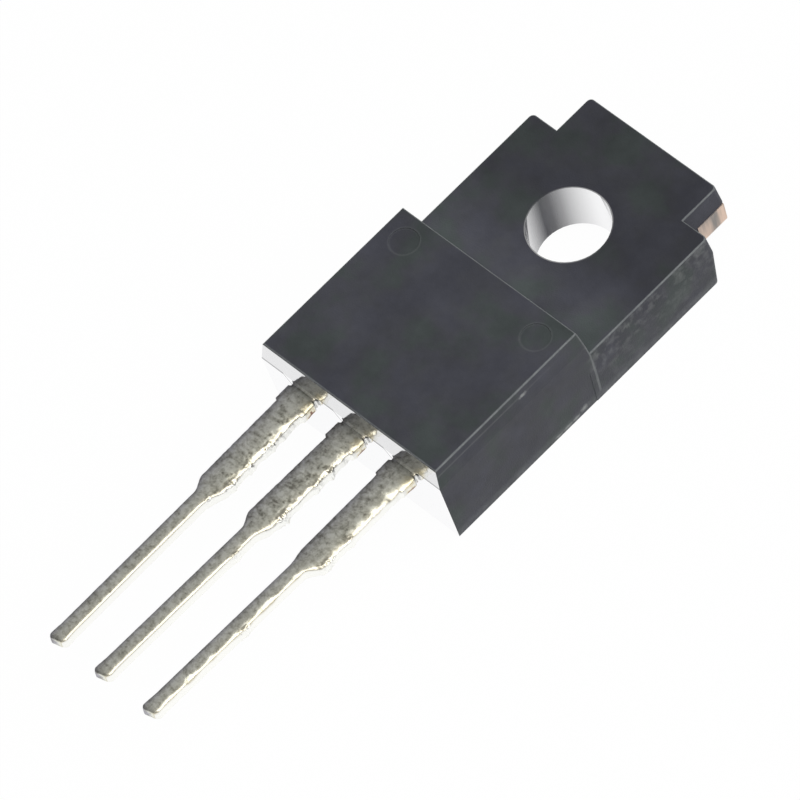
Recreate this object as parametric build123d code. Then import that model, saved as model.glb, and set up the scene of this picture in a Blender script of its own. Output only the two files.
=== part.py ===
from build123d import *
from math import hypot, radians, tan
import os

# Three-lead power transistor in a fully moulded case, in millimetres.
# +X runs across the case, +Y towards the screw tab and +Z out of the front.
# The origin lies on the back face, on the axis of the screw hole.

# Case: lengths from the screw hole and widths, where the two mould halves meet
body_width = 9.0
hole_to_lead_end = 11.27
hole_to_step = 3.80
hole_to_flange_end = 2.80
hole_to_tab_end = 4.60
tab_width = 6.56

# Case: heights above the back face
body_thickness = 4.5
flange_thickness = 2.8
edge_radius = 0.08
flange_corner_radius = 0.2

# Case: draft of each mould half, in degrees from the vertical
front_draft = 8.5
back_end_draft = 3.5
back_side_draft = 0.5
flange_front_draft = 5.5
flange_back_draft = 4.0

# Screw hole, with a chamfer at the back, and the marks that the ejector pins leave on the front
screw_hole_diameter = 3.2
screw_hole_chamfer = 0.4
ejector_mark_diameter = 1.16
ejector_mark_depth = 0.04
ejector_mark_spacing = 6.61
ejector_mark_from_step = 1.02

# Leads: 0.1 inch apart, stamped from one strip; the parting line dips to the top of each
lead_pitch = 2.54
lead_height = 2.62
lead_thickness = 0.5
lead_wide_width = 1.15
lead_narrow_width = 0.6
lead_free_length = 12.99
lead_shoulder_length = 4.82
lead_taper_length = 0.5
lead_tip_chamfer = 0.12
lead_root_depth = 0.3
parting_above_lead = 0.45
parting_dip_reach = 0.3
parting_dip_sag = 0.05

# Stubs of the dam bar that joined the leads, sheared off beside the case
dam_bar_gap = 0.05
dam_bar_length = 0.72
dam_bar_proud = 0.1

# How far each lead is bent sideways at its shoulder, below its taper and at its tip
base_lead_bend = (0.08, 0.09, 0.16)
collector_lead_bend = (-0.05, -0.03, -0.10)
emitter_lead_bend = (0.04, -0.10, -0.20)

# Copper plate that carries the chip, and the epoxy left round it
plate_thickness = 1.1
plate_corner_radius = 0.4
epoxy_under_plate = 0.7
epoxy_beside_plate = 0.9
epoxy_at_lead_end = 2.27
epoxy_at_flange_end = 0.8
epoxy_at_tab_end = 0.5
epoxy_at_tab_side = 0.68
epoxy_round_hole = 1.1

# Tie bars, sheared off beside the tab end, and the mould step under them
tie_bar_from_flange = 0.35
tie_bar_proud = 0.03
tie_bar_short_of_tab_end = 0.08
tie_bar_rollover = 0.2
tie_bar_relief = 0.45

# Bonding posts of the outer leads, and the ramp that takes the middle one down to the plate
epoxy_beside_post = 0.75
post_to_ramp_gap = 0.875
post_to_plate_gap = 0.3
post_corner_radius = 0.3
post_lock_hole_diameter = 0.8
ramp_from_lead_end = 0.97
ramp_to_plate = 0.4

# Chip and its solder
die_size = 3.2
die_thickness = 0.22
die_from_plate_end = 2.8
solder_margin = 0.12
solder_thickness = 0.05

# Bond wires; each foot is a multiple of its wire's diameter
base_wire_diameter = 0.2
emitter_wire_diameter = 0.3
foot_length_ratio = 2.2
foot_width_ratio = 1.5
foot_height_ratio = 0.55
pad_inset = 0.55
post_bond_inset = 0.5
epoxy_over_wire = 0.5
wire_crest_share = 0.45

# Places and heights that follow from the sizes above
lead_end_y = -hole_to_lead_end
step_y = -hole_to_step
lead_tip_y = lead_end_y - lead_free_length
lead_root_y = lead_end_y + lead_root_depth
lead_top = lead_height + lead_thickness
parting_height = lead_top + parting_above_lead
plate_top = epoxy_under_plate + plate_thickness
plate_lead_end_y = lead_end_y + epoxy_at_lead_end
die_top = plate_top + solder_thickness + die_thickness
post_end_y = plate_lead_end_y - post_to_plate_gap
post_inner_x = lead_wide_width / 2 + post_to_ramp_gap
post_outer_x = body_width / 2 - epoxy_beside_post
post_x = (post_inner_x + post_outer_x) / 2
tie_bar_start_y = hole_to_flange_end + tie_bar_from_flange

on_base = (Align.CENTER, Align.CENTER, Align.MIN)


def draft_inset(height, draft):
    """How far a drafted wall moves in over a height."""
    return abs(height) * tan(radians(draft))


def drafted_block(low, high):
    """A block between two rectangles, each given as height, half width, lowest y and highest y."""
    outlines = []
    for height, half_width, y_min, y_max in (low, high):
        middle = Location((0, (y_min + y_max) / 2, height))
        outlines.append(middle * Rectangle(2 * half_width, y_max - y_min))
    return loft(outlines, ruled=True)


def thick_section(height):
    """Half width and both ends of the case's thick half at a height."""
    above = max(height - parting_height, 0)
    below = max(parting_height - height, 0)
    side = body_width / 2 - draft_inset(above, front_draft) - draft_inset(below, back_side_draft)
    lead_end = lead_end_y + draft_inset(above, front_draft) + draft_inset(below, back_end_draft)
    step_drop = body_thickness - max(height, flange_thickness)
    return height, side, lead_end, step_y + draft_inset(step_drop, front_draft)


def flange_outline(height, width, end_y):
    """The screw flange's outline, or its narrower tab end's, at a height; its free corners are rounded."""
    if height > plate_top:
        side_draft = end_draft = flange_front_draft
    else:
        side_draft, end_draft = back_side_draft, flange_back_draft
    half_width = width / 2 - draft_inset(height - plate_top, side_draft)
    far_y = end_y - draft_inset(height - plate_top, end_draft)
    sheet = Location((0, (step_y + far_y) / 2)) * Rectangle(2 * half_width, far_y - step_y)
    free_corners = sheet.vertices().group_by(Axis.Y)[-1]
    return Location((0, 0, height)) * fillet(free_corners, flange_corner_radius)


def case_outside():
    """Thick half, screw flange and tab end; front and back drafts meet at the parting line."""
    shape = Part()
    thick_levels = (0, flange_thickness, parting_height, body_thickness)
    for low, high in zip(thick_levels, thick_levels[1:]):
        shape += drafted_block(thick_section(low), thick_section(high))
    for width, end_y in ((body_width, hole_to_flange_end), (tab_width, hole_to_tab_end)):
        for low, high in ((0, plate_top), (plate_top, flange_thickness)):
            outlines = [flange_outline(height, width, end_y) for height in (low, high)]
            shape += loft(outlines, ruled=True)
    return shape


def edges_at(solid, height, beyond_y):
    """The edges that lie at one height and reach past a given y."""
    level = solid.edges().filter_by_position(Axis.Z, height - 0.001, height + 0.001)
    return [edge for edge in level if edge.bounding_box().max.Y > beyond_y]


def parting_dips():
    """Where the parting line dips to the top of each lead and the front half's draft carries on."""
    foot = lead_wide_width / 2
    top = foot + parting_dip_reach
    right_dip = SagittaArc((top, parting_height), (foot, lead_top), parting_dip_sag)
    left_dip = SagittaArc((-foot, lead_top), (-top, parting_height), parting_dip_sag)
    level = Line((-top, parting_height), (top, parting_height))
    profile = make_face(level + right_dip + Line((foot, lead_top), (-foot, lead_top)) + left_dip)
    outward = draft_inset(parting_above_lead, front_draft)
    drafted_face = drafted_block(
        (lead_top, body_width / 2, lead_end_y - outward, lead_root_y),
        (parting_height, body_width / 2, lead_end_y, lead_root_y),
    )
    dips = Part()
    for place in (-1, 0, 1):
        across = Location((place * lead_pitch, lead_end_y, 0)) * Plane.XZ
        dips += extrude(across * profile, lead_root_depth, both=True) & drafted_face
    return dips


def tie_bar_steps():
    """The steps in the back mould half that leave each tie bar's end standing clear."""
    steps = Part()
    for side in (-1, 1):
        corner = Location((side * tab_width / 2, hole_to_tab_end, 0))
        reach = 2 * (hole_to_tab_end - tie_bar_start_y)
        step_height = epoxy_under_plate + tie_bar_rollover
        steps += corner * Box(2 * tie_bar_relief, reach, step_height, align=on_base)
    return steps


def screw_hole():
    """The screw hole: a straight wall, chamfered where it meets the back."""
    radius = screw_hole_diameter / 2
    chamfer = Cone(radius + screw_hole_chamfer, radius, screw_hole_chamfer, align=on_base)
    return Cylinder(radius, body_thickness, align=on_base) + chamfer


def ejector_marks():
    """Two shallow round recesses in the front, just short of the step."""
    marks = Part()
    for side in (-1, 1):
        place = (side * ejector_mark_spacing / 2, step_y - ejector_mark_from_step, body_thickness)
        marks += Location(place) * Cylinder(ejector_mark_diameter / 2, 2 * ejector_mark_depth)
    return marks


def moulded_body(embedded):
    """The case: rounded edges, screw hole, marks and steps, moulded round the pieces it holds."""
    body = case_outside()
    for height, beyond_y in ((0, lead_end_y), (flange_thickness, 0), (body_thickness, lead_end_y)):
        body = fillet(edges_at(body, height, beyond_y), edge_radius)
    body += parting_dips()
    body -= tie_bar_steps()
    body -= ejector_marks()
    body -= screw_hole()
    for piece in embedded:
        body -= piece
    return body


def lead_strip(centre_x, bend):
    """One lead's flat strip, from its root inside the case to its tip."""
    wide = lead_wide_width / 2
    narrow = lead_narrow_width / 2
    stub = wide + dam_bar_proud
    stub_start_y = lead_end_y - dam_bar_gap
    stub_end_y = stub_start_y - dam_bar_length
    shoulder_y = lead_end_y - lead_shoulder_length
    stations = [
        (0, wide, lead_root_y),
        (0, wide, stub_start_y),
        (0, stub, stub_start_y),
        (0, stub, stub_end_y),
        (0, wide, stub_end_y),
        (bend[0], wide, shoulder_y),
        (bend[1], narrow, shoulder_y - lead_taper_length),
        (bend[2], narrow, lead_tip_y + lead_tip_chamfer),
        (bend[2], narrow - lead_tip_chamfer, lead_tip_y),
    ]
    right = [(centre_x + shift + half, y) for shift, half, y in stations]
    left = [(centre_x + shift - half, y) for shift, half, y in reversed(stations)]
    outline = make_face(Polyline(right + left, close=True))
    return extrude(Location((0, 0, lead_height)) * outline, lead_thickness)


def signal_lead(side, bend):
    """An outer lead and its wider bonding post, whose hole lets the epoxy lock it in place."""
    post = Rectangle(post_outer_x - post_inner_x, post_end_y - lead_root_y)
    post = fillet(post.vertices(), post_corner_radius)
    flat = Location((side * post_x, (lead_root_y + post_end_y) / 2)) * post
    lock_hole_place = Location((side * post_x, lead_root_y + post_lock_hole_diameter))
    flat -= lock_hole_place * Circle(post_lock_hole_diameter / 2)
    post_plate = extrude(Location((0, 0, lead_height)) * flat, lead_thickness)
    return lead_strip(side * lead_pitch, bend) + post_plate


def tie_bar(side, inner_x):
    """The bare end that tied the plate into its strip, sheared just proud of the case."""
    outer_x = tab_width / 2 + tie_bar_proud
    end_y = hole_to_tab_end - tie_bar_short_of_tab_end
    middle = (side * (inner_x + outer_x) / 2, (tie_bar_start_y + end_y) / 2, epoxy_under_plate)
    bar = Location(middle) * Box(outer_x - inner_x, end_y - tie_bar_start_y, plate_thickness, align=on_base)
    under_edges = bar.edges().group_by(Axis.Z)[0]
    far_edge = under_edges.filter_by(Axis.X).sort_by(Axis.Y)[-1]
    side_edge = under_edges.filter_by(Axis.Y).sort_by(Axis.X)[-1 if side > 0 else 0]
    return fillet([far_edge, side_edge], tie_bar_rollover)


def collector_plate():
    """The thick plate: its hole stays clear of the screw, and its neck ends in the tie bars."""
    shoulder_y = hole_to_flange_end - epoxy_at_flange_end
    plate_length = shoulder_y - plate_lead_end_y
    plate = Rectangle(body_width - 2 * epoxy_beside_plate, plate_length)
    plate = Location((0, plate_lead_end_y + plate_length / 2)) * fillet(plate.vertices(), plate_corner_radius)
    neck_width = tab_width - 2 * epoxy_at_tab_side
    neck_end_y = hole_to_tab_end - epoxy_at_tab_end
    neck = Location((0, neck_end_y / 2)) * Rectangle(neck_width, neck_end_y)
    flat = plate + neck - Circle(screw_hole_diameter / 2 + epoxy_round_hole)
    solid = extrude(Location((0, 0, epoxy_under_plate)) * flat, plate_thickness)
    for side in (-1, 1):
        solid += tie_bar(side, neck_width / 2 - plate_corner_radius)
    return solid


def collector_ramp():
    """The bend that takes the middle lead down to the plate's end."""
    start_y = lead_end_y + ramp_from_lead_end
    end_y = plate_lead_end_y - ramp_to_plate
    joint_y = plate_lead_end_y + lead_thickness
    half = lead_thickness / 2
    profile = Polyline(
        (lead_root_y, lead_height),
        (start_y - half, lead_height),
        (end_y - half, plate_top - lead_thickness),
        (joint_y, plate_top - lead_thickness),
        (joint_y, plate_top),
        (end_y + half, plate_top),
        (start_y + half, lead_top),
        (lead_root_y, lead_top),
        close=True,
    )
    return extrude(Plane.YZ * make_face(profile), lead_wide_width / 2, both=True)


def collector_frame():
    """Plate, tie bars, ramp and middle lead: one piece of copper."""
    return lead_strip(0, collector_lead_bend) + collector_ramp() + collector_plate()


def solder_and_die():
    """The chip and, under it, its solder, spread a little past the chip all round."""
    place = Location((0, plate_lead_end_y + die_from_plate_end, plate_top))
    solder_size = die_size + 2 * solder_margin
    solder = place * Box(solder_size, solder_size, solder_thickness, align=on_base)
    die = place * Location((0, 0, solder_thickness)) * Box(die_size, die_size, die_thickness, align=on_base)
    return solder, die


def bond_wire(diameter, pad_x, pad_y, side):
    """A wire that arches from its pad on the chip to a bonding post, with a flattened foot at each end."""
    foot_length = foot_length_ratio * diameter
    foot_height = foot_height_ratio * diameter
    run_x = side * post_x - pad_x
    run_y = post_end_y - post_bond_inset - pad_y
    reach = hypot(run_x, run_y)
    loop_plane = Plane(origin=(pad_x, pad_y, 0), x_dir=(run_x, run_y, 0), z_dir=(run_y, -run_x, 0))
    die_level = die_top + foot_height
    post_level = lead_top + foot_height
    loop_level = body_thickness - epoxy_over_wire - diameter / 2
    crest = (wire_crest_share * reach, loop_level)
    route = loop_plane * ThreePointArc((0, die_level), crest, (reach, post_level))
    wire = sweep(Plane(origin=route @ 0, z_dir=route % 0) * Circle(diameter / 2), path=route)
    for distance, floor in ((0, die_top), (reach, lead_top)):
        foot = Box(foot_length, foot_height, foot_width_ratio * diameter)
        wire += loop_plane * Location((distance, floor + foot_height / 2, 0)) * foot
    return wire


die_solder, silicon_die = solder_and_die()
pad_offset = die_size / 2 - pad_inset
die_y = plate_lead_end_y + die_from_plate_end
pieces = {
    "collector_frame": collector_frame(),
    "base_lead": signal_lead(-1, base_lead_bend),
    "emitter_lead": signal_lead(1, emitter_lead_bend),
    "die_solder": die_solder,
    "silicon_die": silicon_die,
    "base_bond_wire": bond_wire(base_wire_diameter, -pad_offset, die_y - pad_offset, -1),
    "emitter_bond_wire": bond_wire(emitter_wire_diameter, pad_offset, die_y, 1),
}
pieces["moulded_body"] = moulded_body(list(pieces.values()))

os.makedirs("parts", exist_ok=True)
for name, piece in pieces.items():
    export_step(piece, f"parts/{name}.step")
    print(name, round(piece.volume, 3))
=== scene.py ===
import bmesh
import bpy
import numpy as np
from mathutils import Matrix, Vector


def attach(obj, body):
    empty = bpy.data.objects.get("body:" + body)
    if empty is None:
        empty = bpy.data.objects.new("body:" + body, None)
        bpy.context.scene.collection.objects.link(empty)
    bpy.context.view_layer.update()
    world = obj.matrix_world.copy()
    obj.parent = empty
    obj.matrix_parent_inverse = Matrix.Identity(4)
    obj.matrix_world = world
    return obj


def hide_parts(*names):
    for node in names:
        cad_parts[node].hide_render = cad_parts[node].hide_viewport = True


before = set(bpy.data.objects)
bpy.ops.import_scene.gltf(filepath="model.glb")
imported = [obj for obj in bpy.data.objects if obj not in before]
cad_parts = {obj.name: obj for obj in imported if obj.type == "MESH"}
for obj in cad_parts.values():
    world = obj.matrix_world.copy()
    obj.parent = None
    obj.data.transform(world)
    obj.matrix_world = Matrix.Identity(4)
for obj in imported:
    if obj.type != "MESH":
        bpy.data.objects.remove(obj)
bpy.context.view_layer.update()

# Power transistor in a fully moulded case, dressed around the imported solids.
# Sizes are written in millimetres and multiplied by mm on their way into Blender.
mm = 0.001
print("frame loaded:", sorted(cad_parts))


# ---- helpers ----

# an sRGB hex colour as linear light: c / 12.92 below 0.04045, else ((c + 0.055) / 1.055) to the power 2.4
def linear(hexColour):
    parts = np.array([int(hexColour[i:i + 2], 16) for i in (1, 3, 5)]) / 255
    light = np.where(parts <= 0.04045, parts / 12.92, ((parts + 0.055) / 1.055) ** 2.4)
    return (*light.tolist(), 1.0)


# adds one node; a value that is a node or a socket is linked, anything else is set on the input
def add(tree, kind, links=None, **settings):
    made = tree.nodes.new("ShaderNode" + kind)
    for name, value in settings.items():
        setattr(made, name, value)
    for name, value in (links or {}).items():
        if isinstance(value, bpy.types.Node):
            value = value.outputs[0]
        if isinstance(value, bpy.types.NodeSocket):
            tree.links.new(value, made.inputs[name])
        else:
            made.inputs[name].default_value = value
    return made


# a fresh material with an empty node tree
def newMaterial(name):
    made = bpy.data.materials.new(name)
    made.use_nodes = True
    made.node_tree.nodes.clear()
    return made, made.node_tree


# soft step from 0 to 1 between two edges: t * t * (3 - 2t), with t the share of the way, held to 0..1
def softStep(low, high, value):
    t = np.clip((value - low) / (high - low), 0, 1)
    return t * t * (3 - 2 * t)


# smooth random hills: the sum of many cosine waves with random directions and phases, wavelengths between two sizes
def hills(points, shortest, longest, waves, seed):
    dice = np.random.default_rng(seed)
    direction = dice.normal(size=(waves, 3))
    direction /= np.linalg.norm(direction, axis=1, keepdims=True)
    length = dice.uniform(shortest, longest, waves)
    phase = dice.uniform(0, 2 * np.pi, waves)
    angle = points @ (2 * np.pi * direction / length[:, None]).T + phase
    return np.cos(angle).sum(-1) * np.sqrt(2 / waves)


# ---- camera ----

cameraValues = {
    "lookAt": (-0.152, -8.910, 2.0),   # mm, in the middle of the picture
    "heading": -59.09,                 # degrees from +Y
    "tiltDown": 56.52,
    "roll": -17.85,
    "distance": 395.9,
    "lens": 496.3,                     # mm, on a 36 mm wide sensor
}


# forward from heading and tilt, a level right-hand axis, and both axes turned about forward by the roll
def placeCamera(v):
    heading, tilt, roll = np.radians([v["heading"], v["tiltDown"], v["roll"]])
    forward = np.array([np.sin(heading) * np.cos(tilt), np.cos(heading) * np.cos(tilt), -np.sin(tilt)])
    level = np.cross(forward, (0, 0, 1))
    level /= np.linalg.norm(level)
    above = np.cross(level, forward)
    right = level * np.cos(roll) + above * np.sin(roll)
    up = above * np.cos(roll) - level * np.sin(roll)
    place = np.array(v["lookAt"]) - forward * v["distance"]
    data = bpy.data.cameras.new("photoCamera")
    data.lens = v["lens"]
    data.sensor_width = 36
    data.sensor_fit = "HORIZONTAL"
    camera = bpy.data.objects.new("photoCamera", data)
    axes = np.eye(4)
    axes[:3, 0], axes[:3, 1], axes[:3, 2], axes[:3, 3] = right, up, -forward, place * mm
    camera.matrix_world = Matrix(axes.tolist())
    bpy.context.scene.collection.objects.link(camera)
    bpy.context.scene.camera = camera


placeCamera(cameraValues)
print("camera placed")


# ---- materials ----

epoxyValues = {
    "body": "#3F4045", "green": "#3D4242", "blue": "#3F4047",
    "nearStep": 1.36, "flange": 0.76,   # painted shading: how light the flange's top is drawn beside the step and at its far end
    "blotch": 2.2,              # mm
    "grain": 0.07,              # mm, the spark-eroded mould's texture
    "grainDepth": 0.010,        # mm
    "roughness": 0.50, "sheen": 0.10,
    "edgeHighlight": "#6C6F70",         # painted highlight on the rounded edges, also the colour of the mould's witness lines and the other pale marks
    "stepY": -3.80, "stepLean": 0.1495, "top": 4.5, "flangeTop": 2.8,
    "markX": 3.305, "markY": -4.82, "markRadius": 0.58,
    "underLine": 4.16,          # height of the faint line under the front's long edges
    "endLimit": -10.9,          # nearer the leads than this, a face towards -Y is the lead end
    "sideLimit": 4.0,           # further out than this, a face is on the case's outer side
    "holeLimit": 1.64,          # inside this radius it is the screw hole's wall
    "mirror": "#FAFAFB", "mirrorRoughness": 0.07,
    # painted reflection: how mirror-like the hole's wall is drawn, by its way round from the tab side (0) to the lead
    # side (1), bright towards the tab and the leads and dark between
    "paintedHoleShares": ((0.0, 0.96), (0.0365, 0.84), (0.15, 0.55), (0.24, 0.30), (0.36, 0.10), (0.48, 0.05), (0.65, 0.40),
                   (1.0, 1.0)),
    # nicks on the +X side: along, up, half length and half height, in mm
    "chips": ((-4.42, 0.35, 0.15, 0.12), (-4.85, 0.22, 0.16, 0.08), (-5.3, 0.20, 0.22, 0.08), (-5.8, 0.18, 0.16, 0.06),
              (-6.75, 4.12, 0.16, 0.07)),
    "speck": 0.42,              # mm, scuffed filler along the flange's side
    "chip": "#8E908F",          # fresh broken filler showing in a nick
    "partingZ": 3.57, "leadPitch": 2.54, "leadHalf": 0.575, "dipReach": 0.30, "dipDrop": 0.45,
}


# Black epoxy moulding compound, transfer moulded in a spark-eroded mould: a fine matt grain with a satin sheen and a
# painted highlight along its arrises; the lead end was formed by polished steel and mirrors the floor, and the screw
# hole's wall mirrors it in a painted share.
def mouldedEpoxy(v):
    material, tree = newMaterial("blackEpoxyMoulded")
    place = add(tree, "VectorMath", {0: add(tree, "TexCoord").outputs["Object"], "Scale": 1000.0}, operation="SCALE")
    x, y, z = add(tree, "SeparateXYZ", {0: place}).outputs
    nx, ny, nz = add(tree, "SeparateXYZ", {0: add(tree, "NewGeometry").outputs["Normal"]}).outputs

    # colour: soft blotches, with painted shading on the flange's top, lighter beside the step and darker towards its
    # far end
    blotch = add(tree, "TexNoise", {"Vector": place, "Scale": 1 / v["blotch"], "Detail": 4.0, "Roughness": 0.55})
    tint = add(tree, "ValToRGB", {0: blotch.outputs["Fac"]})
    ramp = tint.color_ramp
    ramp.elements[0].position, ramp.elements[0].color = 0.40, linear(v["blue"])
    ramp.elements[1].position, ramp.elements[1].color = 0.60, linear(v["green"])
    ramp.elements.new(0.5).color = linear(v["body"])
    paintedFlangeShade = add(tree, "MapRange", {"Value": y, "From Min": -3.6, "From Max": 0.6, "To Min": v["nearStep"],
                                  "To Max": v["flange"]}, interpolation_type="SMOOTHSTEP")
    upward = add(tree, "Math", {0: add(tree, "Math", {0: nz, 1: 0.6}, operation="GREATER_THAN"),
                                1: add(tree, "Math", {0: z, 1: 3.5}, operation="LESS_THAN")}, operation="MULTIPLY")
    paintedFlangeShade = add(tree, "Mix", {"Factor": upward, 2: 1.0, 3: paintedFlangeShade})
    cloud = add(tree, "TexNoise", {"Vector": place, "Scale": 0.55, "Detail": 6.0, "Roughness": 0.62})
    cloud = add(tree, "MapRange", {"Value": cloud.outputs["Fac"], "From Min": 0.35, "From Max": 0.65, "To Min": 0.86,
                                   "To Max": 1.14})
    toned = add(tree, "VectorMath", {0: tint.outputs["Color"], "Scale": add(
        tree, "Math", {0: paintedFlangeShade, 1: cloud}, operation="MULTIPLY")}, operation="SCALE")

    # painted highlight on the arrises: rounded edges, where the normal leans between upright and level, are drawn pale
    lean = add(tree, "MapRange", {"Value": nz, "From Min": 0.22, "From Max": 0.45}, interpolation_type="SMOOTHSTEP")
    stand = add(tree, "MapRange", {"Value": nz, "From Min": 0.985, "From Max": 0.90}, interpolation_type="SMOOTHSTEP")
    edgeHighlight = add(tree, "Math", {0: lean, 1: stand}, operation="MULTIPLY")

    # the step's edge, carried on down the side as a witness line between two mould inserts
    drop = add(tree, "Math", {0: v["top"], 1: add(tree, "Math", {0: z, 1: v["flangeTop"]}, operation="MAXIMUM")},
               operation="SUBTRACT")
    line = add(tree, "Math", {0: drop, 1: v["stepLean"], 2: v["stepY"]}, operation="MULTIPLY_ADD")
    away = add(tree, "Math", {0: add(tree, "Math", {0: y, 1: line}, operation="SUBTRACT")}, operation="ABSOLUTE")
    witness = add(tree, "MapRange", {"Value": away, "From Min": 0.07, "From Max": 0.03, "To Max": 0.8})
    side = add(tree, "MapRange", {"Value": add(tree, "Math", {0: nx}, operation="ABSOLUTE"), "From Min": 0.9,
                                  "From Max": 0.95})
    high = add(tree, "MapRange", {"Value": z, "From Min": 0.35, "From Max": 0.5})
    witness = add(tree, "Math", {0: add(tree, "Math", {0: witness, 1: side}, operation="MULTIPLY"), 1: high},
                  operation="MULTIPLY")

    # a faint second line just under the front's long edges, and painted bounce light from the floor: a paler band above
    # the back edge
    under = add(tree, "Math", {0: add(tree, "Math", {0: z, 1: v["underLine"]}, operation="SUBTRACT")},
                operation="ABSOLUTE")
    under = add(tree, "MapRange", {"Value": under, "From Min": 0.06, "From Max": 0.02, "To Max": 0.30})
    shorten = add(tree, "MapRange", {"Value": y, "From Min": -4.6, "From Max": -7.5})
    under = add(tree, "Math", {0: add(tree, "Math", {0: under, 1: side}, operation="MULTIPLY"), 1: shorten},
                operation="MULTIPLY")
    # painted light: the side's lowest band is drawn pale as if lit by the floor's bounce, broken up by noise
    low = add(tree, "MapRange", {"Value": z, "From Min": 0.60, "From Max": 0.22, "To Max": 0.55},
              interpolation_type="SMOOTHSTEP")
    bounceNoise = add(tree, "TexNoise", {"Vector": place, "Scale": 1.3, "Detail": 5.0, "Roughness": 0.65})
    bounceNoise = add(tree, "MapRange", {"Value": bounceNoise.outputs["Fac"], "From Min": 0.35, "From Max": 0.65, "To Min": 0.3})
    low = add(tree, "Math", {0: add(tree, "Math", {0: low, 1: side}, operation="MULTIPLY"), 1: bounceNoise},
              operation="MULTIPLY")

    # the hair-wide ledge where the flange's section meets the thick part's: its faces towards -Y are drawn pale, partly
    # a witness mark and partly painted light over the shade that falls on them
    ledge = add(tree, "Math", {0: add(tree, "Math", {0: ny, 1: -0.9}, operation="LESS_THAN"),
                               1: add(tree, "Math", {0: y, 1: v["endLimit"]}, operation="GREATER_THAN")},
                operation="MULTIPLY")
    ledge = add(tree, "Math", {0: ledge, 1: 0.5}, operation="MULTIPLY")

    # ejector marks: a pale ring round each
    mirrored = add(tree, "Math", {0: x}, operation="ABSOLUTE")
    fromMark = add(tree, "CombineXYZ", {0: add(tree, "Math", {0: mirrored, 1: v["markX"]}, operation="SUBTRACT"),
                                        1: add(tree, "Math", {0: y, 1: v["markY"]}, operation="SUBTRACT")})
    fromMark = add(tree, "VectorMath", {0: fromMark}, operation="LENGTH").outputs["Value"]
    ring = add(tree, "Math", {0: add(tree, "Math", {0: fromMark, 1: v["markRadius"]}, operation="SUBTRACT")},
               operation="ABSOLUTE")
    ring = add(tree, "MapRange", {"Value": ring, "From Min": 0.07, "From Max": 0.01, "To Max": 0.22})
    front = add(tree, "MapRange", {"Value": z, "From Min": 4.40, "From Max": 4.44})
    ring = add(tree, "Math", {0: ring, 1: front}, operation="MULTIPLY")

    pale = edgeHighlight
    for extra in (witness, under, low, ledge, ring):
        pale = add(tree, "Math", {0: pale, 1: extra}, operation="MAXIMUM")
    # noise that breaks up the pale marks, the painted edge highlight among them
    paleBreakup = add(tree, "TexNoise", {"Vector": place, "Scale": 2.0, "Detail": 6.0, "Roughness": 0.7})
    paleBreakup = add(tree, "MapRange", {"Value": paleBreakup.outputs["Fac"], "From Min": 0.3, "From Max": 0.6, "To Min": 0.55})
    pale = add(tree, "Math", {0: pale, 1: paleBreakup}, operation="MULTIPLY", use_clamp=True)
    colour = add(tree, "Mix", {"Factor": pale, 6: toned, 7: linear(v["edgeHighlight"])}, data_type="RGBA").outputs[2]

    # nicks on the +X side: small ovals with a ragged rim
    ragged = add(tree, "TexNoise", {"Vector": place, "Scale": 14.0, "Detail": 3.0})
    ragged = add(tree, "Math", {0: ragged.outputs["Fac"], 1: 1.6, 2: 0.2}, operation="MULTIPLY_ADD")
    facing = add(tree, "Math", {0: add(tree, "Math", {0: nx, 1: 0.5}, operation="GREATER_THAN"),
                                1: add(tree, "Math", {0: x, 1: v["sideLimit"]}, operation="GREATER_THAN")},
                 operation="MULTIPLY")
    for chipY, chipZ, chipLong, chipHigh in v["chips"]:
        offset = add(tree, "VectorMath", {0: place, 1: (0.0, chipY, chipZ)}, operation="SUBTRACT")
        offset = add(tree, "VectorMath", {0: offset, 1: (0.0, 1 / chipLong, 1 / chipHigh)}, operation="MULTIPLY")
        offset = add(tree, "VectorMath", {0: offset}, operation="LENGTH").outputs["Value"]
        chip = add(tree, "MapRange", {"Value": add(tree, "Math", {0: offset, 1: ragged}, operation="MULTIPLY"),
                                      "From Min": 1.5, "From Max": 0.3, "To Max": 0.75})
        chip = add(tree, "Math", {0: chip, 1: facing}, operation="MULTIPLY")
        colour = add(tree, "Mix", {"Factor": chip, 6: colour, 7: linear(v["chip"])}, data_type="RGBA").outputs[2]

    # the flange's side is scuffed: pale specks, thickest near its upper edge
    speck = add(tree, "TexNoise", {"Vector": place, "Scale": 1 / v["speck"], "Detail": 3.0, "Roughness": 0.6})
    speck = add(tree, "MapRange", {"Value": speck.outputs["Fac"], "From Min": 0.46, "From Max": 0.76, "To Max": 0.32})
    upper = add(tree, "MapRange", {"Value": z, "From Min": 1.0, "From Max": 2.4, "To Min": 0.3})
    behind = add(tree, "MapRange", {"Value": y, "From Min": -3.9, "From Max": -3.5})
    outside = add(tree, "Math", {0: mirrored, 1: v["sideLimit"]}, operation="GREATER_THAN")
    behind = add(tree, "Math", {0: behind, 1: outside}, operation="MULTIPLY")
    speck = add(tree, "Math", {0: add(tree, "Math", {0: speck, 1: upper}, operation="MULTIPLY"), 1: behind},
                operation="MULTIPLY")
    speck = add(tree, "Math", {0: speck, 1: side}, operation="MULTIPLY")
    colour = add(tree, "Mix", {"Factor": speck, 6: colour, 7: linear(v["chip"])}, data_type="RGBA").outputs[2]

    grain = add(tree, "TexNoise", {"Vector": place, "Scale": 1 / v["grain"], "Detail": 2.0, "Roughness": 0.6})
    bump = add(tree, "Bump", {"Height": grain.outputs["Fac"], "Distance": v["grainDepth"] * mm, "Strength": 1.0})
    sheen = add(tree, "BsdfPrincipled", {"Base Color": colour, "Roughness": v["roughness"], "IOR": 1.5,
                                           "Specular IOR Level": v["sheen"], "Normal": bump})

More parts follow.
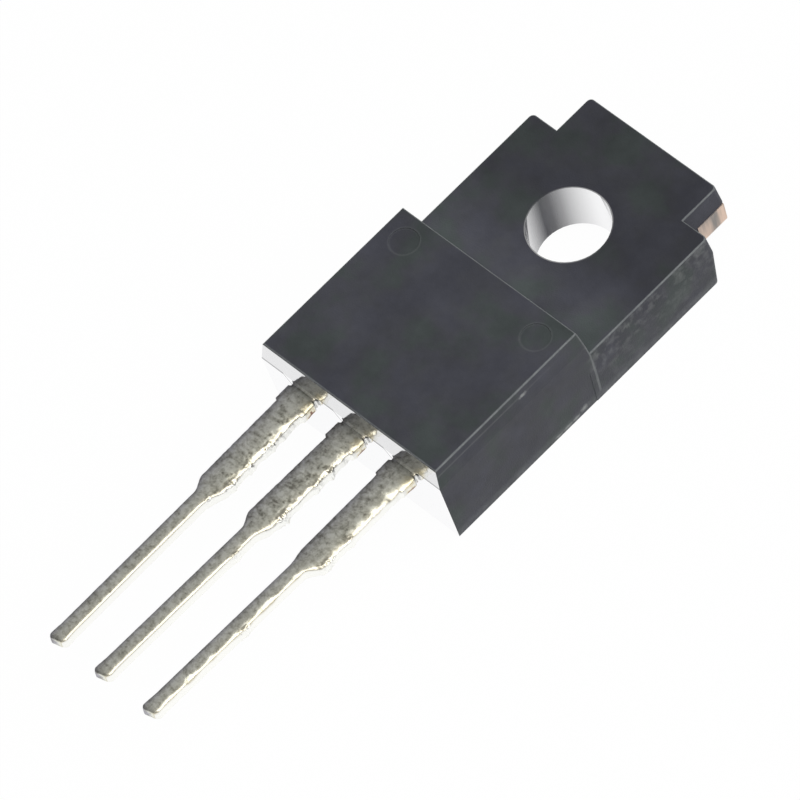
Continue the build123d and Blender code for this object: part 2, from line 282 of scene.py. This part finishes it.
    # the polished lead end: a mirror at a glancing look, broken by the thin parting line that dips to each lead
    atEnd = add(tree, "Math", {0: add(tree, "Math", {0: ny, 1: -0.9}, operation="LESS_THAN"),
                               1: add(tree, "Math", {0: y, 1: v["endLimit"]}, operation="LESS_THAN")},
                operation="MULTIPLY")
    glance = add(tree, "LayerWeight", {"Blend": 0.5}).outputs["Facing"]
    glance = add(tree, "MapRange", {"Value": glance, "From Min": 0.38, "From Max": 0.68},
                 interpolation_type="SMOOTHSTEP")
    beside = add(tree, "Math", {0: add(tree, "Math", {0: mirrored, 1: v["leadPitch"]}, operation="SUBTRACT")},
                 operation="ABSOLUTE")
    near = add(tree, "Math", {0: mirrored, 1: beside}, operation="MINIMUM")
    dip = add(tree, "MapRange", {"Value": near, "From Min": v["leadHalf"] + v["dipReach"], "From Max": v["leadHalf"],
                                 "To Max": v["dipDrop"]})
    parting = add(tree, "Math", {0: add(tree, "Math", {0: v["partingZ"], 1: z}, operation="SUBTRACT"), 1: dip},
                  operation="SUBTRACT")
    parting = add(tree, "Math", {0: parting}, operation="ABSOLUTE")
    parting = add(tree, "MapRange", {"Value": parting, "From Min": 0.02, "From Max": 0.07, "To Min": 0.45})
    endShare = add(tree, "Math", {0: add(tree, "Math", {0: atEnd, 1: glance}, operation="MULTIPLY"), 1: parting},
                   operation="MULTIPLY")

    # the hole's wall: painted reflection, its mirror share set round its way, brightest towards the leads
    radius = add(tree, "VectorMath", {0: add(tree, "CombineXYZ", {0: x, 1: y})}, operation="LENGTH").outputs["Value"]
    inHole = add(tree, "Math", {0: radius, 1: v["holeLimit"]}, operation="LESS_THAN")
    towards = add(tree, "Math", {0: y, 1: radius}, operation="DIVIDE")
    turn = add(tree, "MapRange", {"Value": towards, "From Min": 1.0, "From Max": -1.0})
    wall = add(tree, "ValToRGB", {0: turn})
    stops = wall.color_ramp.elements
    for spot, share in v["paintedHoleShares"]:
        stop = stops[0] if spot == 0 else stops[len(stops) - 1] if spot == 1 else stops.new(spot)
        stop.color = (share, share, share, 1)
    paintedHoleMirror = add(tree, "Math", {0: inHole, 1: wall.outputs["Color"]}, operation="MULTIPLY")

    share = add(tree, "Math", {0: endShare, 1: paintedHoleMirror}, operation="MAXIMUM")
    mirror = add(tree, "BsdfPrincipled", {
        "Base Color": linear(v["mirror"]), "Metallic": 1.0, "Roughness": v["mirrorRoughness"]})
    add(tree, "OutputMaterial", {"Surface": add(tree, "MixShader", {0: share, 1: sheen, 2: mirror})})
    return material


solderValues = {
    "bright": "#FEFEFB", "dull": "#DAD9D2", "pit": "#A09E97",
    # painted shading across the lead: a darker cool left edge, the top, a creamy right corner and the whiter right side
    "left": "#BAB9C4", "middle": "#E6E6E2", "warm": "#F1F0E4", "corner": "#D8D1BD", "right": "#FFFFFE",
    "roughness": 0.36, "sideRoughness": 0.42,
    "mottle": 0.16,      # mm
    "mottleDepth": 0.006,
    "bareCopper": "#93705F", "thin": "#E8DDB8",     # sheared copper, and a painted yellow highlight beside it
}


# Tin-lead solder, hot dipped over copper: dull silver, with painted shading that draws it grey at its left edge and
# whiter towards the right one, with small soft pits between its lumps, brown copper where the dam bar was sheared off
# after dipping, and a painted yellow highlight beside it.
def dippedSolder(v):
    material, tree = newMaterial("tinLeadSolderDipped")
    place = add(tree, "VectorMath", {0: add(tree, "TexCoord").outputs["Object"], "Scale": 1000.0}, operation="SCALE")
    coat = add(tree, "Attribute", attribute_name="coat").outputs["Fac"]
    across = add(tree, "Attribute", attribute_name="across").outputs["Fac"]
    bare = add(tree, "Attribute", attribute_name="bare").outputs["Fac"]
    mottle = add(tree, "TexNoise", {"Vector": place, "Scale": 1 / v["mottle"], "Detail": 3.0, "Roughness": 0.6})
    mixed = add(tree, "Math", {0: mottle.outputs["Fac"], 1: coat}, operation="ADD")
    tint = add(tree, "ValToRGB", {0: mixed})
    ramp = tint.color_ramp
    ramp.elements[0].position, ramp.elements[0].color = 0.24, linear(v["pit"])
    ramp.elements[1].position, ramp.elements[1].color = 0.62, linear(v["bright"])
    ramp.elements.new(0.40).color = linear(v["dull"])
    # painted shading: the lead's colour darkens to its left edge and whitens to its right side
    acrossShading = add(tree, "ValToRGB", {0: across})
    acrossShading.color_ramp.elements[0].color = linear(v["left"])
    acrossShading.color_ramp.elements[1].color = linear(v["right"])
    for spot, name in ((0.35, "middle"), (0.75, "warm"), (0.955, "corner")):
        acrossShading.color_ramp.elements.new(spot).color = linear(v[name])
    tinted = add(tree, "Mix", {"Factor": 1.0, 6: tint.outputs["Color"], 7: acrossShading.outputs["Color"]},
                 data_type="RGBA", blend_type="MULTIPLY").outputs[2]
    # painted highlight: a yellow glint beside the sheared copper, then the copper itself
    cut = add(tree, "ValToRGB", {0: bare})
    cut.color_ramp.elements[0].position, cut.color_ramp.elements[0].color = 0.78, linear(v["thin"])
    cut.color_ramp.elements[1].position, cut.color_ramp.elements[1].color = 0.92, linear(v["bareCopper"])
    colour = add(tree, "Mix", {"Factor": bare, 6: tinted, 7: cut.outputs["Color"]}, data_type="RGBA").outputs[2]
    rough = add(tree, "MapRange", {"Value": across, "From Min": 0.7, "From Max": 1.0, "To Min": v["roughness"],
                                   "To Max": v["sideRoughness"]})
    bump = add(tree, "Bump", {"Height": mottle.outputs["Fac"], "Distance": v["mottleDepth"] * mm, "Strength": 0.3})
    shader = add(tree, "BsdfPrincipled", {"Base Color": colour, "Metallic": 1.0, "Roughness": rough, "Normal": bump})
    add(tree, "OutputMaterial", {"Surface": shader})
    return material


copperValues = {"face": "#DCC5B4", "stain": "#8F8A86", "streak": 0.45, "roughness": 0.50}


# Copper strip, stamped and sheared: pinkish metal with fine shear streaks across the cut and darker stains.
def shearedCopper(v):
    material, tree = newMaterial("copperStripSheared")
    place = add(tree, "TexCoord").outputs["Object"]
    streak = add(tree, "TexNoise", {"Vector": add(tree, "Mapping", {0: place, "Scale": (1, 1, 0.15)}),
                                    "Scale": 1000 / v["streak"], "Detail": 3.0})
    tint = add(tree, "ValToRGB", {0: streak.outputs["Fac"]})
    ramp = tint.color_ramp
    ramp.elements[0].position, ramp.elements[0].color = 0.35, linear(v["stain"])
    ramp.elements[1].position, ramp.elements[1].color = 0.60, linear(v["face"])
    bump = add(tree, "Bump", {"Height": streak.outputs["Fac"], "Distance": 0.01 * mm, "Strength": 0.7})
    shader = add(tree, "BsdfPrincipled", {
        "Base Color": tint.outputs["Color"], "Metallic": 1.0, "Roughness": v["roughness"], "Normal": bump})
    add(tree, "OutputMaterial", {"Surface": shader})
    return material


# a metal for a sealed inner piece: one noise drives a two-colour ramp and a bump
def innerMetal(name, dark, light, size, stretch, roughness):
    material, tree = newMaterial(name)
    place = add(tree, "TexCoord").outputs["Object"]
    noise = add(tree, "TexNoise", {"Vector": add(tree, "Mapping", {0: place, "Scale": stretch}),
                                   "Scale": 1000 / size, "Detail": 3.0})
    tint = add(tree, "ValToRGB", {0: noise.outputs["Fac"]})
    ramp = tint.color_ramp
    ramp.elements[0].position, ramp.elements[0].color = 0.35, linear(dark)
    ramp.elements[1].position, ramp.elements[1].color = 0.65, linear(light)
    bump = add(tree, "Bump", {"Height": noise.outputs["Fac"], "Distance": 0.004 * mm, "Strength": 0.5})
    shader = add(tree, "BsdfPrincipled", {
        "Base Color": tint.outputs["Color"], "Metallic": 1.0, "Roughness": roughness, "Normal": bump})
    add(tree, "OutputMaterial", {"Surface": shader})
    return material


epoxy = mouldedEpoxy(epoxyValues)
solder = dippedSolder(solderValues)
copper = shearedCopper(copperValues)
nodeMaterials = {
    "moulded_body": epoxy,
    "die_solder": innerMetal("leadRichSolderReflowed", "#7E7F82", "#A9AAAC", 0.3, (1, 1, 1), 0.42),
    "silicon_die": innerMetal("siliconWaferSawn", "#3A3D45", "#6C6F7A", 0.2, (1, 0.1, 1), 0.18),
    "base_bond_wire": innerMetal("aluminiumWireDrawn", "#B9BBBE", "#DADBDD", 0.05, (1, 1, 1), 0.30),
}
nodeMaterials["emitter_bond_wire"] = nodeMaterials["base_bond_wire"]
for nodeName, material in nodeMaterials.items():
    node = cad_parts[nodeName]
    for slotIndex in range(max(1, len(node.material_slots))):
        if not node.material_slots:
            node.data.materials.append(material)
        node.material_slots[slotIndex].material = material
print("materials made")


# ---- leads ----

leadValues = {
    "pitch": 2.54, "bottom": 2.62, "thickness": 0.5,
    "wide": 1.15, "narrow": 0.60,
    "caseEnd": -11.27, "shoulder": -16.09, "taperEnd": -16.59, "tip": -24.25,
    "stubStart": -11.32, "stubEnd": -12.04, "stubProud": 0.10,
    "shellStart": -11.22,   # just inside the case
    "coat": 0.010,          # least solder over the strip
    "cornerPower": 9.0, "rightPower": 6.5,    # how square the dipped section is
    "slant": 0.25,          # of the cut-off end
    "tipRound": 0.16, "tipFlare": 0.03,
    "alongStep": 0.03, "around": 88,
}
# lumpy and pitted: how rough and how spotted the dip is; shade: painted shade, how much darker the wide part's left
# side is drawn; side: painted light, how much whiter its right face is drawn
# draped: the section's power where solder runs over the right corner, lower is rounder; runs: its share down the pin
# drips on the right edge: where along the lead, half length and how proud, in mm
leadShapes = {
    "baseLead": {
        "node": "base_lead", "place": -1, "bend": (0.08, 0.09, 0.16), "seed": 11,
        "lumpy": 1.0, "pitted": 1.0, "shade": 0.02, "side": 0.40, "draped": 3.4, "runs": 0.3,
        "drips": ((-13.6, 0.25, 0.06), (-14.7, 0.18, 0.05), (-15.6, 0.25, 0.07), (-16.6, 0.2, 0.05))},
    "collectorLead": {
        "node": "collector_frame", "place": 0, "bend": (-0.05, -0.03, -0.10), "seed": 23,
        "lumpy": 1.1, "pitted": 1.1, "shade": 0.09, "side": 0.40, "draped": 4.0, "runs": 0.3,
        "drips": ((-13.0, 0.12, 0.10), (-13.7, 0.2, 0.06), (-15.4, 0.3, 0.09), (-17.6, 0.25, 0.06))},
    "emitterLead": {
        "node": "emitter_lead", "place": 1, "bend": (0.04, -0.10, -0.20), "seed": 37,
        "lumpy": 0.6, "pitted": 0.4, "shade": 0.08, "side": 0.34, "draped": 2.3, "runs": 0.9,
        "drips": ((-14.6, 0.2, 0.05), (-15.8, 0.3, 0.08), (-19.6, 0.3, 0.07))},
}


# A lead's dipped surface on a grid of stations and angles: centre line and half width are read off the strip's
# stations, the section is a superellipse |x/w|^p + |z/h|^p = 1 whose power drops on the upper right where the solder
# drapes over, low hills push it out or in along its own normal, and drips are bell curves on the right edge.
def dippedLead(shape, v):
    count = int((v["shellStart"] - v["tip"]) / v["alongStep"]) + 1
    y = np.linspace(v["shellStart"], v["tip"], count)
    wide, narrow = v["wide"] / 2, v["narrow"] / 2
    half = narrow + (wide - narrow) * softStep(v["taperEnd"] - 0.12, v["shoulder"] + 0.12, y)
    stub = softStep(v["stubStart"] + 0.03, v["stubStart"] - 0.03, y)
    stub = stub * softStep(v["stubEnd"] - 0.03, v["stubEnd"] + 0.03, y)
    half = half + v["stubProud"] * stub + v["tipFlare"] * softStep(v["tip"] + 0.8, v["tip"] + 0.2, y)
    wideness = softStep(v["taperEnd"] - 0.6, v["shoulder"] + 0.6, y)[:, None]
    root = softStep(v["caseEnd"] - 0.5, v["caseEnd"] - 0.05, y)[:, None]
    shift = np.interp(-y, [-v["caseEnd"], -v["shoulder"], -v["taperEnd"], -v["tip"]], (0, *shape["bend"]))
    angle = np.linspace(0, 2 * np.pi, v["around"], endpoint=False) + 0 * y[:, None]
    along = np.stack([0 * y, y, 0 * y], -1)
    drape = np.clip(0.5 + 0.35 * hills(along, 0.3, 1.2, 12, shape["seed"] + 2), 0, 1)[:, None]
    drape = drape * np.maximum(wideness, shape["runs"]) * (1 - root)
    upperRight = (angle > 0) & (angle < np.pi / 2)
    power = 2 / np.where(upperRight, v["rightPower"] - (v["rightPower"] - shape["draped"]) * drape, v["cornerPower"])
    across = np.sign(np.cos(angle)) * np.abs(np.cos(angle)) ** power
    rise = np.sign(np.sin(angle)) * np.abs(np.sin(angle)) ** power
    centreX = shape["place"] * v["pitch"] + shift
    nearTip = np.clip((y - v["tip"]) / v["tipRound"], 0, 1)
    rounding = np.sqrt(1 - 0.55 * (1 - nearTip) ** 2)[:, None]
    x = centreX[:, None] + (half + v["coat"])[:, None] * across * rounding
    z = v["bottom"] + v["thickness"] / 2 + (v["thickness"] / 2 + v["coat"]) * rise * rounding
    points = np.stack([x, y[:, None] + 0 * x, z], -1)
    outward = np.stack([across, 0 * across, rise], -1)
    outward /= np.linalg.norm(outward, axis=-1, keepdims=True)
    rough = hills(points, 0.25, 0.8, 60, shape["seed"])
    fine = hills(points, 0.09, 0.22, 60, shape["seed"] + 1)
    ragged = softStep(0.55, 0.95, across) * wideness
    lumps = (0.001 + 0.002 * wideness + 0.010 * ragged) * rough + (0.0008 + 0.0012 * wideness + 0.002 * ragged) * fine
    lumps = shape["lumpy"] * lumps * (1 - 0.9 * root)
    for spot, length, proud in shape["drips"]:
        bell = np.exp(-((y - spot) / length) ** 2)[:, None]
        lumps = lumps + proud * bell * softStep(0.6, 1.0, across) * (0.75 + 0.25 * fine)
    points = points + lumps[..., None] * outward
    fromLeft = points[..., 0] - points[..., 0].min(axis=1, keepdims=True)
    points[..., 1] += v["slant"] * fromLeft * softStep(v["tip"] + 0.6, v["tip"], y)[:, None]
    clear = 1 - softStep(v["stubEnd"], v["stubEnd"] + 0.4, y)[:, None]
    pits = softStep(-0.6, 0.3, across) * softStep(0.85, 0.6, across) * wideness * shape["pitted"] * clear
    coat = pits * np.clip(0.08 * fine + 0.06 * rough - 0.02, -0.25, 0.10) + 0.02 * rough
    # painted light and shade: the right face is drawn whiter and the wide part's left side darker
    side = softStep(0.7, 0.95, across)
    coat = coat * (1 - side) + shape["side"] * side - shape["shade"] * wideness * softStep(0.6, -1.0, across)
    sheared = softStep(v["stubStart"] - 0.02, v["stubStart"] - 0.12, y) * softStep(-11.92, -11.74, y)
    bare = sheared[:, None] * np.maximum(0.75 * softStep(0.3, 0.9, across + 0.06 * fine) * (rise > 0),
                                         softStep(0.9, 0.98, across) * softStep(0.1, -0.3, rise + 0.1 * fine))
    return points, {"coat": coat, "across": (across + 1) / 2, "bare": bare}


# quads between rings, and a fan over each end; the corners run so that faces point outwards
def gridFaces(rings, around, firstCentre, lastCentre):
    ring, step = np.meshgrid(np.arange(rings - 1), np.arange(around), indexing="ij")
    after = (step + 1) % around
    a, b = ring * around + step, ring * around + after
    c, d = (ring + 1) * around + after, (ring + 1) * around + step
    quads = np.stack([a, b, c, d], -1).reshape(-1, 4)
    step = np.arange(around)
    after = (step + 1) % around
    first = np.stack([np.full(around, firstCentre), after, step], -1)
    lastRing = (rings - 1) * around
    last = np.stack([np.full(around, lastCentre), lastRing + step, lastRing + after], -1)
    return quads, np.concatenate([first, last])


# the part of a CAD node that stays inside the case: a merged copy, cut square across and capped
def insideCase(nodeName, cutY):
    work = bmesh.new()
    work.from_mesh(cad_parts[nodeName].data)
    bmesh.ops.remove_doubles(work, verts=work.verts, dist=0.0005 * mm)
    everything = work.verts[:] + work.edges[:] + work.faces[:]
    bmesh.ops.bisect_plane(work, geom=everything, dist=1e-9, plane_co=(0, cutY * mm, 0), plane_no=(0, -1, 0),
                           clear_outer=True)
    rim = [edge for edge in work.edges if edge.is_boundary]
    bmesh.ops.holes_fill(work, edges=rim, sides=0)
    bmesh.ops.triangulate(work, faces=work.faces)
    mesh = bpy.data.meshes.new("inside")
    work.to_mesh(mesh)
    work.free()
    verts = np.empty(len(mesh.vertices) * 3)
    mesh.vertices.foreach_get("co", verts)
    faces = np.empty(len(mesh.loops), dtype=np.int64)
    mesh.loops.foreach_get("vertex_index", faces)
    bpy.data.meshes.remove(mesh)
    return verts.reshape(-1, 3), faces.reshape(-1, 3)


# the dipped grid and the stamped copy inside the case as one mesh, with a material slot each
def buildLead(name, shape, v):
    points, layers = dippedLead(shape, v)
    rings, around = points.shape[:2]
    grid = points.reshape(-1, 3)
    centres = np.stack([points[0].mean(0), points[-1].mean(0)])
    quads, fans = gridFaces(rings, around, len(grid), len(grid) + 1)
    inside, insideFaces = insideCase(shape["node"], v["shellStart"] - 0.02)
    verts = np.concatenate([grid * mm, centres * mm, inside])
    insideFaces = insideFaces + len(grid) + 2
    mesh = bpy.data.meshes.new(name)
    mesh.from_pydata(verts.tolist(), [], quads.tolist() + fans.tolist() + insideFaces.tolist())
    slots = np.concatenate([np.zeros(len(quads) + len(fans), int), np.ones(len(insideFaces), int)])
    mesh.materials.append(solder)
    mesh.materials.append(copper)
    mesh.polygons.foreach_set("material_index", slots)
    mesh.polygons.foreach_set("use_smooth", slots == 0)
    for layerName, values in layers.items():
        layer = mesh.attributes.new(layerName, "FLOAT", "POINT")
        layer.data.foreach_set("value", np.concatenate([values.ravel(), np.zeros(2 + len(inside))]).astype(np.float32))
    mesh.update()
    lead = bpy.data.objects.new(name, mesh)
    bpy.context.scene.collection.objects.link(lead)
    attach(lead, "root")
    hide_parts(shape["node"])
    return lead


for leadName, leadShape in leadShapes.items():
    buildLead(leadName, leadShape, leadValues)
print("leads built")


# ---- floor and light ----

stageValues = {
    "floorRadius": 1500.0,   # mm
    "floorDrop": 0.01,       # mm under the part, so that the two faces don't coincide
    "floorColour": "#E6E6E6",
    "floorWhite": 0.98,      # how much of the floor that the camera sees is plain white
    "worldStrength": 0.30,
    "keyPower": 3.2, "keySize": 700.0, "keyPlace": (260.0, 150.0, 440.0),
    "fillPower": 0.9, "fillSize": 500.0, "fillPlace": (230.0, -140.0, 400.0),
    "worldDim": 0.55,        # how much dimmer the room is on the lead side
}


# a wide pale disc: camera and mirror rays see it white, other rays matt, and from underneath it is clear
def makeFloor(v):
    work = bmesh.new()
    bmesh.ops.create_circle(work, cap_ends=True, segments=64, radius=v["floorRadius"] * mm,
                            matrix=Matrix.Translation((0, 0, -v["floorDrop"] * mm)))
    mesh = bpy.data.meshes.new("floor")
    work.to_mesh(mesh)
    work.free()
    material, tree = newMaterial("paperBackground")
    rays = add(tree, "LightPath")
    seen = add(tree, "Math", {0: rays.outputs["Is Camera Ray"], 1: rays.outputs["Is Glossy Ray"]}, operation="MAXIMUM")
    seen = add(tree, "Math", {0: seen, 1: rays.outputs["Is Transmission Ray"]}, operation="MAXIMUM")
    share = add(tree, "Math", {0: seen, 1: v["floorWhite"]}, operation="MULTIPLY")
    matt = add(tree, "BsdfDiffuse", {"Color": linear(v["floorColour"])})
    white = add(tree, "Emission", {"Color": (1, 1, 1, 1), "Strength": 1.0})
    upper = add(tree, "MixShader", {0: share, 1: matt, 2: white})
    under = add(tree, "NewGeometry").outputs["Backfacing"]
    clear = add(tree, "BsdfTransparent")
    add(tree, "OutputMaterial", {"Surface": add(tree, "MixShader", {0: under, 1: upper, 2: clear})})
    mesh.materials.append(material)
    floor = bpy.data.objects.new("floor", mesh)
    bpy.context.scene.collection.objects.link(floor)


# a square soft light aimed at the middle of the part
def makeLight(name, power, size, place):
    data = bpy.data.lights.new(name, "AREA")
    data.energy, data.size = power, size * mm
    light = bpy.data.objects.new(name, data)
    spot = Vector(place) * mm
    light.location = spot
    light.rotation_euler = (Vector((0, -0.009, 0.002)) - spot).to_track_quat("-Z", "Y").to_euler()
    bpy.context.scene.collection.objects.link(light)


# plain light from all round, a little dimmer from the lead side, and white to the camera
def makeWorld(v):
    world = bpy.data.worlds.new("studio")
    world.use_nodes = True
    tree = world.node_tree
    tree.nodes.clear()
    rays = add(tree, "LightPath")
    towards = add(tree, "SeparateXYZ", {0: add(tree, "TexCoord").outputs["Generated"]}).outputs["Y"]
    level = add(tree, "MapRange", {"Value": towards, "From Min": -0.25, "From Max": 0.25,
                                   "To Min": v["worldStrength"] * v["worldDim"], "To Max": v["worldStrength"]})
    room = add(tree, "Background", {"Color": (1, 1, 1, 1), "Strength": level})
    white = add(tree, "Background", {"Color": (1, 1, 1, 1), "Strength": 1.0})
    add(tree, "OutputWorld", {"Surface": add(tree, "MixShader", {0: rays.outputs["Is Camera Ray"], 1: room, 2: white})})
    bpy.context.scene.world = world


makeFloor(stageValues)
makeLight("keyLight", stageValues["keyPower"], stageValues["keySize"], stageValues["keyPlace"])
makeLight("fillLight", stageValues["fillPower"], stageValues["fillSize"], stageValues["fillPlace"])
makeWorld(stageValues)
bpy.context.scene.view_settings.view_transform = "Standard"
print("stage and light set")
